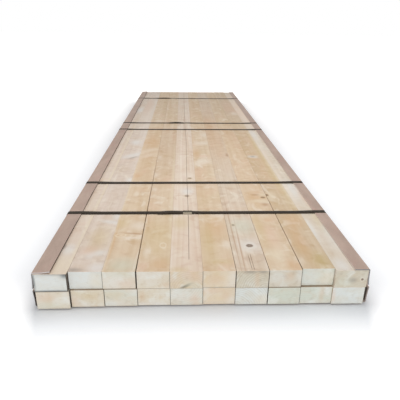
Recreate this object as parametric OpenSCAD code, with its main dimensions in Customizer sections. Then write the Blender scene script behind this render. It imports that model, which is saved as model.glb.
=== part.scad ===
// Bundle of planed pine studs: two layers laid flat, a cardboard angle along each of the four
// long edges, and plastic straps pulled tight round the whole.
// Millimetres. X runs across the bundle, Y along the studs, and Z up from the floor.

/* [Studs] */
// Width of a stud's broad face
stud_w = 63; // [45:1:100]
// Thickness of a stud
stud_t = 38; // [30:1:50]
// Length that the studs are cut to
stud_length = 2400; // [1800:100:4800]
// Radius of a stud's planed long edges
arris_r = 1.2; // [0.5:0.1:6]

/* [Bundle] */
// Studs side by side in each layer
studs_per_layer = 10; // [6:1:12]
// Widest gap between neighbours in the upper layer
upper_gap = 2; // [0.5:0.1:4]
// Widest gap between neighbours in the lower layer
lower_gap = 1; // [0.2:0.1:2]
// Furthest that the end of a stud stands out of line
end_stagger = 6; // [0:1:15]

/* [Edge protectors] */
// Width of the leg that lies over or under the studs, on the left
left_leg = 35; // [25:1:60]
// Width of the leg that lies over or under the studs, on the right
right_leg = 30; // [25:1:60]
// Thickness of the board
protector_t = 2.5; // [1.5:0.5:4]
// Space between the upper and the lower board on each side
protector_space = 11; // [2:1:30]
// Distance that the upper boards have slid towards the front
upper_slide = 3; // [0:0.5:10]
// Distance that the lower boards have slid towards the back
lower_slide = 6; // [0:0.5:10]

/* [Straps] */
// Width of the strap
strap_w = 16; // [10:1:25]
// Thickness of the strap
strap_t = 0.8; // [0.5:0.1:1.2]
// Depth that the tight straps press into the board
strap_bite = 0.4; // [0.1:0.1:0.8]
// Play between a strap and the sides of its groove
groove_play = 0.5; // [0.2:0.1:1]
// Run over which a strap comes in from the board to the wood
dip_run = 45; // [30:5:80]
// Distance of the first strap from the studs' front ends
front_inset = 275; // [150:5:400]
// Distance from the first strap to the second
front_pair = 220; // [60:5:300]
// Distance of the third strap behind the middle
middle_inset = 5; // [-50:5:50]
// Distance from the third strap to the fourth
middle_pair = 140; // [60:5:200]
// Distance of the last strap from the studs' back ends
back_inset = 295; // [150:5:400]
// Length of the welded lap on a strap that has no seal
lap_length = 40; // [20:1:45]

/* [Seals] */
// Length of a steel seal along its strap
seal_length = 22; // [16:1:32]
// Thickness of the seal's sheet
seal_wall = 0.6; // [0.4:0.1:1]
// Play between the seal and the two layers of strap in it
seal_play = 0.15; // [0.1:0.05:0.3]
// Width of a crimp across the seal
crimp_w = 2; // [1:0.5:3]
// Depth of a crimp
crimp_depth = 0.3; // [0.1:0.1:0.3]
// Crimps across each seal
crimps = 3; // [1:1:4]
// Place of the first strap's seal, to the right of the middle
front_seal_x = -27; // [-120:1:120]
// Place of the fourth strap's seal, to the right of the middle
middle_seal_x = -20; // [-120:1:120]
// Place of the last strap's seal, to the right of the middle
back_seal_x = -100; // [-120:1:120]

/* [Free tails] */
// Length of the first strap's tail, from its seal
front_tail = 62; // [30:1:100]
// Length of the fourth strap's tail, from its seal
middle_tail = 75; // [30:1:100]
// Length of the last strap's tail, from its seal
back_tail = 95; // [30:1:100]
// Angle that the free tail of the strap strays by, in degrees
tail_angle = 2; // [0:0.5:4]
// Height that the free tail springs up by
tail_lift = 4; // [1:0.5:8]

/* [Hidden] */
$fn = 64;
// How far the end of each stud lies towards the back, as a share of end_stagger
upper_stagger = [-0.8, 0.5, 0.3, 0.2, 0, 0.2, 0, 0.2, 1, -0.4];
lower_stagger = [-1, -0.2, 0, 0.2, 0.1, 0.3, 0, -0.1, 0.1, -0.4];
// Each gap from left to right, as a share of the widest in its layer
upper_gaps = [0.2, 0.1, 1, 0.1, 0.1, 0.4, 0.5, 0.8, 0.1];
lower_gaps = [0.9, 0.4, 0.3, 0.1, 0.3, 0.1, 1, 0.5, 0.1];

// Heights, from the underside of the straps up
board_z = strap_t - strap_bite;
lower_z = board_z + protector_t;
upper_z = lower_z + stud_t;
top_z = upper_z + stud_t;
board_top_z = top_z + protector_t;

// Widths, from the middle of the bundle out
upper_w = layer_w(upper_gap, upper_gaps);
lower_w = layer_w(lower_gap, lower_gaps);
half_w = max(upper_w, lower_w) / 2;
left_edge_x = -(half_w + protector_t - left_leg);
right_edge_x = half_w + protector_t - right_leg;

// The upright legs share the side of the bundle, and the bend clears the edge that it folds over
side_leg = (board_top_z - board_z - protector_space) / 2;
bend_r = arris_r / 2;

// The inner face of a strap, where it lies in the grooves of the boards
strap_half_w = half_w + protector_t - strap_bite;
strap_low_z = strap_t;
strap_high_z = board_top_z - strap_bite;
strap_corner_r = bend_r + protector_t - strap_bite;
// On top the straps clear the wood by the sheet of a seal
top_clear = seal_wall + seal_play;

// Places of the straps along Y
strap_y = [-stud_length / 2 + front_inset,
           -stud_length / 2 + front_inset + front_pair,
           middle_inset,
           middle_inset + middle_pair,
           stud_length / 2 - back_inset];
// A sealed strap has its seal on top, and a free tail to the left of it
seal_x = [front_seal_x, undef, undef, middle_seal_x, back_seal_x];
tail_length = [front_tail, undef, undef, middle_tail, back_tail];
// A welded strap has its lap on one side, -1 for left and 1 for right
weld_side = [undef, -1, 1, undef, undef];

seal_w = strap_w + 2 * (seal_play + seal_wall);
seal_h = 2 * (strap_t + seal_play + seal_wall);
// Overlap that makes the tail and the strap under it a single solid
tail_weld = 0.1;
// Share of the tail that lies flat before it springs up
tail_flat = 1 / 3;
tail_steps = 9;

COLUMNS = [0 : studs_per_layer - 1];
STRAPS = [0 : len(strap_y) - 1];
SEALED = [for (s = STRAPS) if (!is_undef(seal_x[s])) s];
// Name, side (-1 for left, 1 for right) and level (-1 for bottom, 1 for top) of each board
CORNERS = [["top_left", -1, 1], ["top_right", 1, 1], ["bottom_left", -1, -1], ["bottom_right", 1, -1]];

function stud_name(layer, i) = str("stud_", layer, i < 9 ? "_0" : "_", i + 1);
function protector_name(c) = str("edge_protector_", c[0]);
function strap_name(s) = str("strap_", s + 1);
function seal_name(s) = str("strap_seal_", s + 1);
// Left side of a stud, from the left side of its layer
function stud_left(i, gap, gaps) =
    i == 0 ? 0 : stud_left(i - 1, gap, gaps) + stud_w + gap * gaps[(i - 1) % len(gaps)];
function layer_w(gap, gaps) = stud_left(studs_per_layer - 1, gap, gaps) + stud_w;
// Height of the free tail above the strap, at a share of its length
function tail_height(share) = tail_lift * pow(max(0, share - tail_flat) / (1 - tail_flat), 2);

// Extrudes an outline drawn in X and Z along Y, centred on Y = 0
module along_y(length) {
    rotate([90, 0, 0])
        linear_extrude(height = length, center = true)
            children();
}

// Rectangle with four round corners, from its lowest corner
module round_rect(size, r) {
    translate([r, 0]) square([size[0] - 2 * r, size[1]]);
    translate([0, r]) square([size[0], size[1] - 2 * r]);
    for (x = [r, size[0] - r], y = [r, size[1] - r])
        translate([x, y]) circle(r);
}

// Rectangle below and left of the origin, with its corner there rounded
module corner_block(size, r) {
    translate([-size[0], -size[1]]) square([size[0], size[1] - r]);
    translate([-size[0], -size[1]]) square([size[0] - r, size[1]]);
    translate([-r, -r]) circle(r);
}

// One stud, planed on four sides and sawn square at its ends, from its lower left edge
module stud(x, z, shift) {
    color([0.86, 0.76, 0.61])
        translate([x, shift, z])
            along_y(stud_length)
                round_rect([stud_w, stud_t], arris_r);
}

// Section of the cardboard angle, with the inside of its bend at the origin
module angle_section(flat_leg) {
    legs = [flat_leg, side_leg];
    difference() {
        translate([protector_t, protector_t]) corner_block(legs, bend_r + protector_t);
        corner_block(legs, bend_r);
    }
}

// Cardboard angle as long as the studs, along one edge of the bundle, grooved where the straps
// press into it
module edge_protector(side, level) {
    color([0.70, 0.61, 0.56])
        difference() {
            translate([side * half_w, level > 0 ? -upper_slide : lower_slide, level > 0 ? top_z : lower_z])
                mirror([side < 0 ? 1 : 0, 0, 0])
                    mirror([0, 0, level < 0 ? 1 : 0])
                        along_y(stud_length) angle_section(side < 0 ? left_leg : right_leg);
            for (s = STRAPS) strap_groove(s);
        }
}

// Everything outside the inner face of a strap, as wide as the groove that it presses
module strap_groove(s) {
    reach = 2 * protector_t;
    translate([0, strap_y[s], 0])
        along_y(strap_w + 2 * groove_play)
            difference() {
                translate([-half_w - reach, -reach])
                    square([2 * (half_w + reach), board_top_z + 2 * reach]);
                strap_outline(0);
            }
}

// What a strap encloses at some height above its inner face: a round-cornered box over the
// boards, drawn in to the wood between them, above and below
module strap_outline(grow) {
    w = strap_half_w + grow;
    difference() {
        translate([-w, strap_low_z - grow])
            round_rect([2 * w, strap_high_z - strap_low_z + 2 * grow], strap_corner_r + grow);
        translate([0, strap_high_z + grow]) dip(strap_high_z - top_z - top_clear);
        translate([0, strap_low_z - grow]) mirror([0, 1]) dip(lower_z - strap_low_z);
    }
}

// The shallow hollow between two boards that a strap comes in to
module dip(depth) {
    above = protector_t;
    polygon([[left_edge_x, above], [left_edge_x, 0], [left_edge_x + dip_run, -depth],
             [right_edge_x - dip_run, -depth], [right_edge_x, 0], [right_edge_x, above]]);
}

// One strap round the bundle, with the lap or the free tail where its two ends meet
module strap(s) {
    color([0.13, 0.12, 0.13])
        translate([0, strap_y[s], 0])
            union() {
                along_y(strap_w)
                    difference() {
                        strap_outline(strap_t);
                        strap_outline(0);
                    }
                if (is_undef(seal_x[s])) weld_lap(weld_side[s]);
                else tail(seal_x[s], tail_length[s]);
            }
}

// The two layers of a welded lap, on one side of the bundle
module weld_lap(side) {
    translate([side * (strap_half_w + strap_t), 0, (strap_low_z + strap_high_z) / 2])
        cube([2 * strap_t, strap_w, lap_length], center = true);
}

// The outer end of a sealed strap: flat in the seal, then straying and springing up to the left
module tail(x, length) {
    translate([x, 0, top_z + top_clear + strap_t]) {
        along_y(strap_w)
            translate([-seal_length / 2, -tail_weld]) square([seal_length, strap_t + tail_weld]);
        translate([-seal_length / 2, 0, 0])
            rotate([0, 0, tail_angle])
                along_y(strap_w)
                    tail_section(length);
    }
}

// Side view of the free tail, from the seal at the origin to its sprung end on the left
module tail_section(length) {
    shares = [for (k = [0 : tail_steps]) k / tail_steps];
    under = [for (u = shares) [-length * u, tail_height(u) - tail_weld]];
    over = [for (u = shares) [-length * u, tail_height(u) + strap_t]];
    polygon(concat(under, [for (k = [tail_steps : -1 : 0]) over[k]]));
}

// Folded steel seal round the two ends of a strap, with crimps pressed across its top
module strap_seal(s) {
    past = 1;
    color([0.74, 0.72, 0.68])
        translate([seal_x[s], strap_y[s], top_z + seal_h / 2])
            difference() {
                cube([seal_length, seal_w, seal_h], center = true);
                cube([seal_length + past, seal_w - 2 * seal_wall, seal_h - 2 * seal_wall], center = true);
                for (k = [1 : crimps])
                    translate([(k / (crimps + 1) - 0.5) * seal_length, 0, seal_h / 2])
                        cube([crimp_w, seal_w + past, 2 * crimp_depth], center = true);
            }
}

for (i = COLUMNS) {
    stud(stud_left(i, upper_gap, upper_gaps) - upper_w / 2, upper_z,
             end_stagger * upper_stagger[i % len(upper_stagger)]);
    stud(stud_left(i, lower_gap, lower_gaps) - lower_w / 2, lower_z,
             end_stagger * lower_stagger[i % len(lower_stagger)]);
}
for (c = CORNERS)
    edge_protector(c[1], c[2]);
for (s = STRAPS)
    strap(s);
for (s = SEALED)
    strap_seal(s);
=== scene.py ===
# %% [markdown]
# # A strapped bundle of pine studs
# Twenty planed studs lie in two layers of ten. Cardboard angles guard the four long edges, and five
# black straps are drawn tight round the whole, three of them closed by a steel seal. The measured
# model is loaded first, as a fixed frame. Each piece below is built in its place there and then
# stands for the plain solid of that piece.

import math
from functools import partial

import bmesh
import bpy
from mathutils import Matrix, Vector


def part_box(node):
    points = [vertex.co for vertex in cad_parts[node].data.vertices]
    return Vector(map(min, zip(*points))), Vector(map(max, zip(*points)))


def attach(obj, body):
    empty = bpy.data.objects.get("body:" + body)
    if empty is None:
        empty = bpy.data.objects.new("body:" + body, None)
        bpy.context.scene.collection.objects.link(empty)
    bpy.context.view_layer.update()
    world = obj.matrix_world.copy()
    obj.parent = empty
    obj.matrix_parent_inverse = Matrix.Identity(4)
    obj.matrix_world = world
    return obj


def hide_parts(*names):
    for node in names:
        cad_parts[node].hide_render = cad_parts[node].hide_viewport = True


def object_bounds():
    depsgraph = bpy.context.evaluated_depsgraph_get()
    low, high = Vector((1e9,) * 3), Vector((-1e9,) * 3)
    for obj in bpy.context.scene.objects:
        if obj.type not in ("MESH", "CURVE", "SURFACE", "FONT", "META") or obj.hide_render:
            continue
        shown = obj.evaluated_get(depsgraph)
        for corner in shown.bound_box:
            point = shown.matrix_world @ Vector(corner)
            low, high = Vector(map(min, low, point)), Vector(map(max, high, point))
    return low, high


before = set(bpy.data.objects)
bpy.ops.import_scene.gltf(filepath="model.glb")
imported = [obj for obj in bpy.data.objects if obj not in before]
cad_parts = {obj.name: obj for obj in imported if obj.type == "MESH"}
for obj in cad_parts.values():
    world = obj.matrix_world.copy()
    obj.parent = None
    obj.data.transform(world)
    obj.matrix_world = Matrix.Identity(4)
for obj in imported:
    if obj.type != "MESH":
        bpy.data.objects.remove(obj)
cad_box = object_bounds()
MM = 0.001
corners = [[round(v / MM, 1) for v in corner] for corner in cad_box]
print(len(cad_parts), "solids, corners in mm:", corners)

# %% [markdown]
# ## The viewpoint
# The bundle is seen from half a metre above the floor, close to its front end, so its long sides run
# together strongly towards the back. The focal length is written in pixels of a square picture and
# turned into millimetres on Blender's sensor. The three turns are applied in the order roll, pitch,
# yaw, as a tripod head does it.

# %% Place the camera
PICTURE_PX = 400
FOCAL_PX = 428.24
EYE = Vector((-0.0381, -1.9003, 0.5076))
LOOK_DOWN = math.radians(21.99)
LOOK_RIGHT = math.radians(2.47)
ROLL = math.radians(0.706)

bpy.ops.object.select_all(action="DESELECT")
bpy.ops.object.camera_add()
camera = bpy.context.object
camera.name = "viewpoint"
camera.data.lens = FOCAL_PX / PICTURE_PX * camera.data.sensor_width
camera.matrix_world = (Matrix.Translation(EYE) @ Matrix.Rotation(-LOOK_RIGHT, 4, "Z")
                       @ Matrix.Rotation(math.pi / 2 - LOOK_DOWN, 4, "X") @ Matrix.Rotation(ROLL, 4, "Z"))
bpy.context.scene.camera = camera
print("lens", round(camera.data.lens, 2), "mm")

# %% [markdown]
# ## Helpers for shapes
# `start_piece` adds a primitive at its size and place and goes into edit mode. `pick` selects parts
# of the mesh there by a test on their place or normal, as one would by eye. `turn_sheet` and `thicken`
# make a folded sheet look outwards and give it its thickness. `shape_done` smooths the finished piece,
# names it, makes it ride on the bundle and stand for its solid.

# %% Helpers for shapes
TINY = 0.01 * MM
# Shading stays sharp over edges that turn more than the first angle; rims that turn more than the second
# are broken by a bevel
SHARP_ANGLE = math.radians(35)
RIM_ANGLE = math.radians(50)
# A face looks straight along an axis where its normal does by at least this much
SQUARE_ON = 0.99


def pick(kind, test):
    """Selects the VERTs, EDGEs or FACEs of the piece in edit mode that pass the test."""
    bpy.ops.mesh.select_mode(type=kind)
    bpy.ops.mesh.select_all(action="DESELECT")
    shape = bmesh.from_edit_mesh(bpy.context.object.data)
    shape.normal_update()
    for part in {"VERT": shape.verts, "EDGE": shape.edges, "FACE": shape.faces}[kind]:
        if test(part):
            part.select_set(True)
    shape.select_flush_mode()
    bmesh.update_edit_mesh(bpy.context.object.data)


def cut_across(place, direction):
    """Cuts the whole piece in edit mode along a plane."""
    bpy.ops.mesh.select_all(action="SELECT")
    bpy.ops.mesh.bisect(plane_co=place, plane_no=direction)


def start_piece(add_primitive, low, high):
    """Adds a primitive of size 1, stretches it between two corners and goes into edit mode."""
    bpy.ops.object.select_all(action="DESELECT")
    add_primitive(size=1, location=(low + high) / 2)
    piece = bpy.context.object
    piece.scale = [max(side, MM) for side in high - low]
    bpy.ops.object.transform_apply(location=True, rotation=True, scale=True)
    bpy.ops.object.mode_set(mode="EDIT")
    return piece


def turn_sheet(key, upwards):
    """Turns all faces of a sheet one way: the one with the greatest key looks up (1) or down (-1)."""
    bpy.ops.mesh.select_all(action="SELECT")
    bpy.ops.mesh.normals_make_consistent(inside=False)
    shape = bmesh.from_edit_mesh(bpy.context.object.data)
    if max(shape.faces, key=key).normal.z * upwards < 0:
        bpy.ops.mesh.flip_normals()


def finish_with(piece, kind, **settings):
    """Adds a modifier with its settings and applies it."""
    modifier = piece.modifiers.new(kind.lower(), kind)
    for setting, value in settings.items():
        setattr(modifier, setting, value)
    bpy.ops.object.modifier_apply(modifier=modifier.name)


def thicken(piece, wall, outwards, rim, steps):
    """Gives a sheet its wall, outside (1) or inside (-1) of it, and breaks the edges of its rims."""
    finish_with(piece, "SOLIDIFY", thickness=wall, offset=outwards, use_even_offset=True)
    finish_with(piece, "BEVEL", width=rim, segments=steps, limit_method="ANGLE", angle_limit=RIM_ANGLE)


def shape_done(piece, name, node):
    """Smooths the round edges, names the piece and lets it stand for its solid."""
    bpy.ops.object.shade_smooth_by_angle(angle=SHARP_ANGLE)
    piece.name = name
    piece.data.name = name
    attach(piece, "root")
    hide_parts(node)
    return piece


def count_faces(pieces):
    """Faces in all these pieces together."""
    return sum(len(piece.data.polygons) for piece in pieces)


print("points closer than", TINY / MM, "mm count as one")

# %% [markdown]
# ## Helpers for materials
# `add_node` adds one node, with its settings and its links; each material has it at hand as `put`, for
# its own nodes. `paint_layers` lays tones over a colour, each by its own pattern. `start_material`
# makes an empty material and lays out its noise patterns, from the size of their blots in millimetres.

# %% Helpers for materials
SMOOTH = {"interpolation_type": "SMOOTHSTEP"}
COLOUR = {"data_type": "RGBA"}
TIMES = {"operation": "MULTIPLY"}
TIMES_PLUS = {"operation": "MULTIPLY_ADD"}
MINUS = {"operation": "SUBTRACT"}
OVER = {"operation": "DIVIDE"}
GREATER = {"operation": "MAXIMUM"}
SIZE = {"operation": "ABSOLUTE"}
LENGTH = {"operation": "LENGTH"}


def linear(hex_colour):
    """An sRGB hex colour as the linear red, green, blue and alpha of Blender's sockets."""
    channels = [int(hex_colour[i:i + 2], 16) / 255 for i in (1, 3, 5)]
    return [c / 12.92 if c <= 0.04045 else ((c + 0.055) / 1.055) ** 2.4 for c in channels] + [1.0]


def fill(node, inputs):
    """Links a node's inputs to other nodes, or sets them to values or hex colours."""
    for socket, value in inputs.items():
        if isinstance(value, bpy.types.NodeSocket):
            node.id_data.links.new(value, node.inputs[socket])
        else:
            node.inputs[socket].default_value = linear(value) if isinstance(value, str) else value


def add_node(tree, kind, inputs=None, stops=None, **settings):
    """Adds one node with its settings, fills or links its inputs, and returns its outputs."""
    node = tree.nodes.new("ShaderNode" + kind)
    for setting, value in settings.items():
        setattr(node, setting, value)
    for k, (position, colour, cover) in enumerate(stops or []):
        ramp = node.color_ramp.elements
        stop = ramp[k] if k < len(ramp) else ramp.new(position)
        stop.position = position
        stop.color = linear(colour)[:3] + [cover]
    fill(node, inputs or {})
    return node.outputs


def paint_layers(put, colour, patterns, layers):
    """Lays tones over a colour, each where its pattern goes from start to full, up to its cover."""
    for pattern, start, full, cover, tone in layers:
        share = put("MapRange", {0: patterns[pattern], 1: start, 2: full, 3: 0, 4: cover}, **SMOOTH)[0]
        colour = put("Mix", {0: share, 6: colour, 7: tone}, **COLOUR)[2]
    return colour


def start_material(name, patterns, offset=0):
    """An empty material, the function that puts nodes in it, its shader, the place and its noises."""
    material = bpy.data.materials.new(name)
    material.use_nodes = True
    put = partial(add_node, material.node_tree)
    place = put("TexCoord")["Object"]
    noise = {}
    for pattern, (size, detail, swirl) in patterns.items():
        inputs = {"Vector": place, "Scale": [1 / (side * MM) for side in size], "Location": (0, offset, 0)}
        scaled = put("Mapping", inputs)[0]
        inputs = {"Vector": scaled, "Scale": 1.0, "Detail": detail, "Distortion": swirl}
        noise[pattern] = put("TexNoise", inputs)[0]
    return material, put, material.node_tree.nodes["Principled BSDF"], place, noise


print("mid grey is", [round(c, 3) for c in linear("#808080")])

# %% [markdown]
# ## The studs
# A stud is a sawn length of pine, planed on four sides. The planer only breaks its long edges, and
# the saw leaves its ends square. A box is stretched to the place of each stud, its long edges are
# bevelled round, its end rims are just broken, and it is cut into stations along its length.

# %% Plane one stud
ARRIS = 0.5 * MM
ARRIS_STEPS = 3
END_BREAK = 0.4 * MM
STATIONS = 40


def runs_along(edge):
    """The distance that an edge runs along the bundle."""
    return abs(edge.verts[0].co.y - edge.verts[1].co.y)


def plane_stud(node):
    """A stud with round long edges and sharp ends, in edit mode."""
    low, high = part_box(node)
    piece = start_piece(bpy.ops.mesh.primitive_cube_add, low, high)
    length = high.y - low.y
    pick("EDGE", lambda edge: runs_along(edge) > length / 2)
    bpy.ops.mesh.bevel(offset=ARRIS, segments=ARRIS_STEPS, affect="EDGES")
    pick("EDGE", lambda edge: runs_along(edge) < TINY)
    bpy.ops.mesh.bevel(offset=END_BREAK, segments=1, affect="EDGES")
    pick("EDGE", lambda edge: runs_along(edge) > length / 2)
    bpy.ops.mesh.subdivide(number_cuts=STATIONS - 1)
    return piece


# %% [markdown]
# Drying opens a stud in narrow checks that follow the grain. A check is a real groove here: the top
# faces are cut along three close lines, and the middle line is pushed down. A long check also
# wanders a little from side to side, so its points are moved by a slow wave afterwards.

# %% Open a drying check in the top of a stud
LONG_CHECK = 1000
CHECK_WANDER = 2.2 * MM
CHECK_WAVES = ((0.45, 1.0), (0.13, 0.4))


def open_check(low, high, right, start, end, width, depth):
    """Cuts a V groove into the stud's top: its place from the middle, its ends behind the front, in mm."""
    middle = (low.x + high.x) / 2 + right * MM
    first, last = low.y + start * MM, low.y + end * MM

    def on_top(face):
        return face.normal.z > SQUARE_ON and face.calc_center_median().z > high.z - ARRIS / 2

    for cut in (first, last):
        pick("FACE", on_top)
        bpy.ops.mesh.bisect(plane_co=(0, cut, 0), plane_no=(0, 1, 0))
    for step in (-0.5, 0, 0.5):
        pick("FACE", lambda face: on_top(face) and first < face.calc_center_median().y < last)
        bpy.ops.mesh.bisect(plane_co=(middle + step * width * MM, 0, 0), plane_no=(1, 0, 0))
    pick("VERT", lambda v: abs(v.co.x - middle) < TINY and first + TINY < v.co.y < last - TINY
         and v.co.z > high.z - TINY)
    bpy.ops.transform.translate(value=(0, 0, -depth * MM))


def bend_check(piece, low, high, right):
    """Lets a long check wander from side to side."""
    middle = (low.x + high.x) / 2 + right * MM
    for point in piece.data.vertices:
        if abs(point.co.x - middle) < MM:
            along = point.co.y - low.y
            point.co.x += CHECK_WANDER * sum(part * math.sin(along / wave) for wave, part in CHECK_WAVES)


# %% [markdown]
# A corner that was knocked in transport is rounded off and no longer meets its neighbour. The end is
# cut across a few times, and the side and the top edge are drawn in, most at the very end.

# %% Wear one corner of a stud's front end
WEAR_CUTS = (0, 0.35, 0.7)


def wear_corner(low, high, side, amount, run):
    """Draws one side of the front end in, in mm, over a short run behind it."""
    for share in (*WEAR_CUTS[1:], 1):
        cut_across((0, low.y + share * run * MM, 0), (0, 1, 0))
    edge = high.x if side > 0 else low.x
    for share in WEAR_CUTS:
        draw = amount * MM * (1 - share) ** 2
        here = low.y + share * run * MM
        for lowest, drop in ((low.z, 0), (high.z - ARRIS - TINY, draw / 2)):
            pick("VERT", lambda v: abs(v.co.x - edge) < ARRIS + draw + TINY and v.co.z >= lowest - TINY
                 and abs(v.co.y - here) < END_BREAK + TINY)
            bpy.ops.transform.translate(value=(0 if drop else -side * draw, 0, -drop))


# %% [markdown]
# No stud is quite straight. In the upper layer the joints stand open at the front and close towards
# the back, a tight joint sooner than a wide one. So the two sides of each stud are drawn a little
# outwards there, each by its own share of the gap.

# %% Let the joints close towards the back
CLOSE_SHARE = 0.42
CLOSE_START = 200 * MM
CLOSE_RUN = 700 * MM
WIDE_JOINT = 2 * MM


def ease(share):
    """Takes a share from 0 to 1 smoothly at both ends."""
    share = min(1, max(0, share))
    return share * share * (3 - 2 * share)


def close_joints(piece, low, high, left_gap, right_gap):
    """Moves the two sides of a stud into the gaps beside it, more towards the back."""
    for edge, outward, gap in ((low.x + ARRIS, -1, left_gap), (high.x - ARRIS, 1, right_gap)):
        wide = max(TINY, min(1, gap / WIDE_JOINT))
        for point in piece.data.vertices:
            if (point.co.x - edge) * outward > -TINY:
                behind = point.co.y - low.y - wide * CLOSE_START
                point.co.x += outward * gap * CLOSE_SHARE * ease(behind / (wide * CLOSE_RUN))


# %% [markdown]
# Every stud came from another place in its log. The rows below say, from left to right, the tone of
# its wood, where the pith of the log lies from its middle, how strongly its rings show on its faces
# and on its ends, the tone of its sawn ends, its checks, and then its knots, patches and marks. Places
# are in millimetres: to the right of the stud's middle and behind its front end, or above its middle
# for a mark on the end, with two half sizes and, where it lies askew, a turn in degrees.

# %% The studs of the upper layer
UPPER = [
    {"tone": "pale", "pith": (22, -64), "rings": 0.05, "end": "frost", "worn": (1, 1.5, 24),
     # The cream strip along this stud's right edge is painted light: it hides the shade in the joint beside
     # it.
     "spots": "frost 13 95 9 16, smudge 1 109 2.5 7, cream 29 700 3 800, cream 14 30 14 30, "
              "frost 14 1690 14 60",
     # On this end the grey blue marks along the bottom and left rims and on the worn top right corner are
     # painted shade, in the joints beside them.
     "marks": "frost -4 2 26 14, grime 29 17 7 5, grime -31 4 2 16, grime 2 -19 34 2.2, "
              "smudge 8 19 26 2.5"},
    {"tone": "silver", "pith": (-18, -48), "rings": 0.06, "end": "frost",
     "spots": "frost -2 65 8 13, rosy -6 82 12 14, frost 16 72 9 9, frost 22 14 16 14, "
              "frost 15 221 18 7 -20, frost 25 252 7 14, smudge -22 6 11 6, frost 0 970 14 30, "
              "frost 5 784 36 14 50, frost 26 520 8 16, smudge 10 757 16 3.5 50, straw 4 140 16 40, "
              "pale 0 1750 50 350, rosy -10 1850 20 200",
     "marks": "frost -8 3 28 18, cream 22 -3 12 14"},
    {"tone": "tan", "pith": (12, -55), "rings": 0.07, "end": "cream",
     # The cream line along this stud's left edge is a painted highlight along the joint.
     "spots": "amber -27 130 2.5 90, cream -31 560 2.5 420, straw -20 215 12 22, pale 19 202 14 16, "
              "swirl -15 152 13 9 8, vein 14 160 18 3 -8, pale 8 140 20 4 -4, amber -19 558 9 22, "
              "pale -4 850 36 14 50, pale 2 790 28 12 50, amber 0 980 24 40, pale 12 1393 18 14, "
              "sage 5 22 20 22, warmth 0 900 40 250",
     "marks": "sage 1 13 22 6, frost -12 -2 22 12, rosy 16 -8 14 7"},
    {"tone": "tan", "pith": (-28, -60), "rings": 0.06, "end": "cream",
     "spots": "straw 4 150 26 60, ghost 15 104 7 12, pale -17 77 6 11, amber 12 24 16 18, "
              "rosy -22 17 8 16, pale -23 440 6 12, pale -26 568 5 14, pale -23 767 6 16, "
              "cream 29 500 4 300, shade 0 900 50 300",
     "marks": "frost -14 8 20 10, amber 26 -12 8 6"},
    {"tone": "rose", "pith": (8, -23), "rings": 0.2, "end": "warm", "end_rings": 0.3,
     "checks": [(5, 45, 2401, 1.0, 5)],
     "spots": "pin 5 391 6 7, frost 5 425 13 20, pin 15 538 5.5 7, pale 14 570 13 20, straw -16 6 14 8, "
              "straw -12 215 16 24",
     "marks": "rosy 14 9 14 8 25, wedge -3 -14.5 9 2 -28, sage 13 -13 13 6 25"},
    {"tone": "tan", "pith": (26, -70), "rings": 0.06, "end": "warm",
     "spots": "pale 20 256 15 10, amber 4 188 18 40, pale 23 107 6 13, straw 7 34 20 8, "
              "straw -14 120 12 60, rosy 0 780 20 12, pale -3 701 40 16 50, pale 22 1102 16 30, "
              "amber -20 820 10 40, pale 8 960 26 22 50, warmth 0 1700 50 350",
     "marks": "cream 6 0 34 18, amber -8 1 12 9, frost 25 -1 8 16, smudge 0 -19 36 1.5"},
    {"tone": "beige", "pith": (26, -26), "rings": 0.14, "end": "dusk", "end_rings": 0.5,
     "checks": [(-5.5, 10, 60, 0.8, 3), (-1, 3, 64, 0.8, 3), (3.5, 4, 66, 0.8, 3), (7, 12, 60, 0.8, 3)],
     "spots": "frost 8 103 17 22, tight 8 101 7 7, pin -16 203 3.5 5, vein -13 90 1.2 90 -1, "
              "vein -22 150 1 130, sage 6 200 20 30, amber 0 1100 40 300, vein 27 794 3.5 16, "
              "warmth 0 1700 50 350",
     "marks": "smudge -4 17 9 3, smudge 20 17 6 3, amber 9 -2 4 12"},
    {"tone": "tan", "pith": (4, -62), "rings": 0.07, "end": "dusk",
     "spots": "rosy -4 150 12 42, amber 6 231 7 9, cream -6 60 16 18, warmth 0 900 50 330, "
              "amber 19 18 12 14, straw -20 180 9 50, amber 4 372 22 40, cream 20 398 12 8, "
              "cream 6 352 22 8 10, cream 22 340 10 8, pin 21 376 6 6 -20, vein 18 326 7 8, "
              "vein 2 396 8 5",
     "marks": "frost -12 0 24 14, frost 27 8 5 16, amber 9 5 8 9"},
    {"tone": "honey", "pith": (-24, -52), "rings": 0.08, "end": "sage",
     "spots": "cream -20 384 10 26, pin -29 389 3.5 8, amber 5 219 16 30, olive 13 30 14 24, "
              "warmth 0 900 50 300, rosy 10 1800 30 200, frost -19 768 8 12, frost -3 766 8 12, "
              "smudge -11 769 6 6, amber -10 120 12 60, pale 14 1593 12 30, straw 22 470 9 120, "
              "straw 22 850 9 200, cream 31 470 5 150, cream 31 900 5 260",
     "marks": "frost -16 0 20 18, cream 17 -4 13 14"},
    {"tone": "cream", "pith": (34, -46), "rings": 0.06, "end": "dusk", "unshaded_joints": True,
     "spots": "frost -28 182 5 40, straw -2 194 6 60, frost -15 20 11 20, frost -10 436 14 50, "
              "frost -19 1126 9 70, pale -6 1560 12 90, blush 0 1750 60 350, frost 6 150 14 50, "
              "pale -27 480 6 130, pale -27 850 6 180, rosy 10 380 10 50",
     "marks": "tight 21.6 -1.4 2.4 2.4, smudge 3 -3 6 4, sage -16 -8 14 9"},
]

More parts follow.
